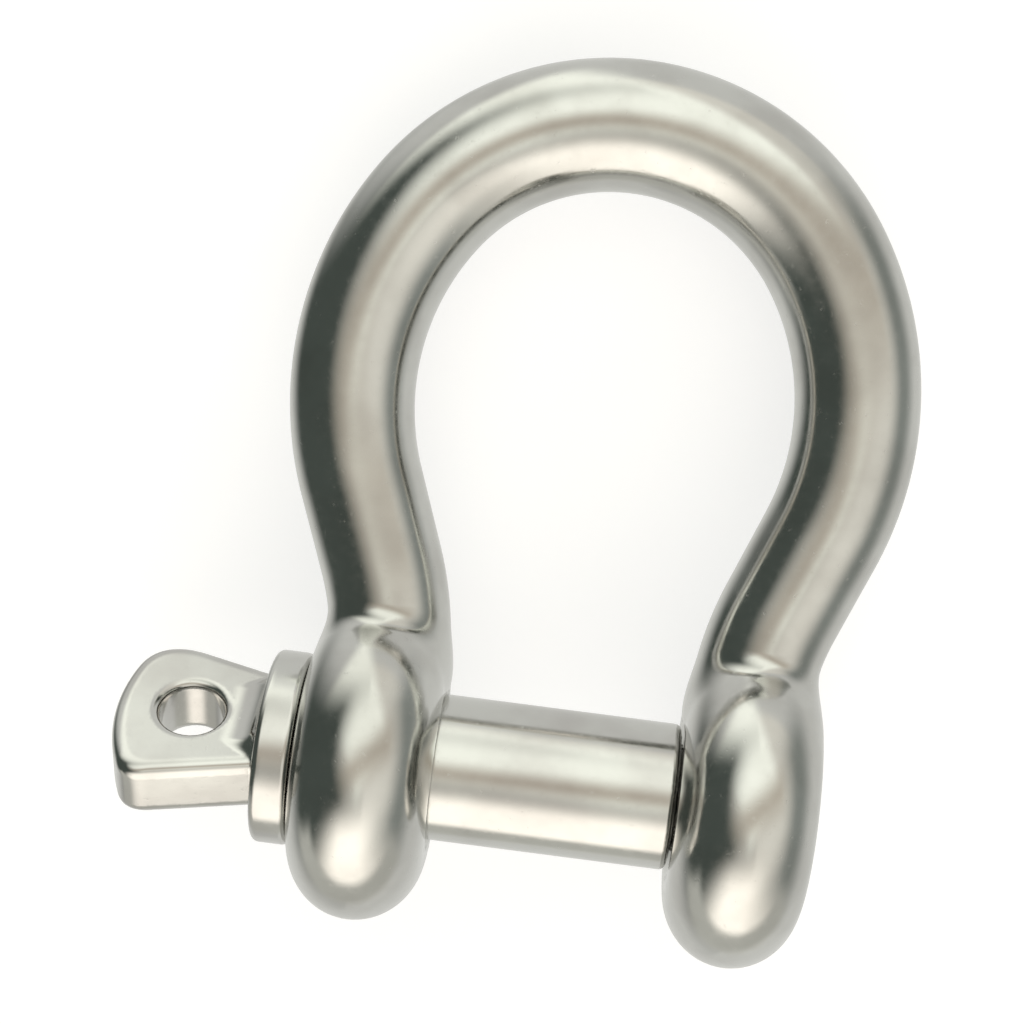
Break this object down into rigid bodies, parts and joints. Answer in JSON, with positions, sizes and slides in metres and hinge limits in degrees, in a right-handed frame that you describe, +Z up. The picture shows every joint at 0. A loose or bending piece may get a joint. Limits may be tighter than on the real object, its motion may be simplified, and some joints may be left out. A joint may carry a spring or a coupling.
{
  "type": "bow shackle",
  "caption": "Omega-shaped polished steel bow shackle with a screw pin across its jaw; the pin has a collar, a flat eye tab and a threaded end.",
  "frame": {"origin": "on the floor under the middle of the resting shackle's bounding box", "axes": "+X along the pin, from its eye tab to its threaded end; +Y from the pin towards the crown of the bow; +Z up, out of the floor that the shackle lies on, 8.3 degrees from square to the bow's own plane"},
  "size_m": [0.058, 0.0672, 0.0246],
  "materials": {
    "bow_steel": "mirror polished",
    "pin_steel": "mirror polished"
  },
  "bodies": {
    "bow": {"bow_body": "bow_steel"},
    "pin_carrier": {"pin_collar": "pin_steel"},
    "pin": {"screw_pin": "pin_steel"}
  },
  "joints": [
    {"name": "pin_withdraw", "type": "slide", "parent": "bow", "child": "pin_carrier", "axis": [-1, 0, 0], "range_m": [0, 0.042]},
    {"name": "pin_turn", "type": "hinge", "parent": "pin_carrier", "child": "pin", "pos_m": [0.00508, -0.02126, 0.0123], "axis": [-1, 0, 0], "range_deg": [0, 10090]}
  ],
  "couplings": [
    {"joint": "pin_turn", "follows": "pin_withdraw", "rad_per_m": 4188.8}
  ]
}
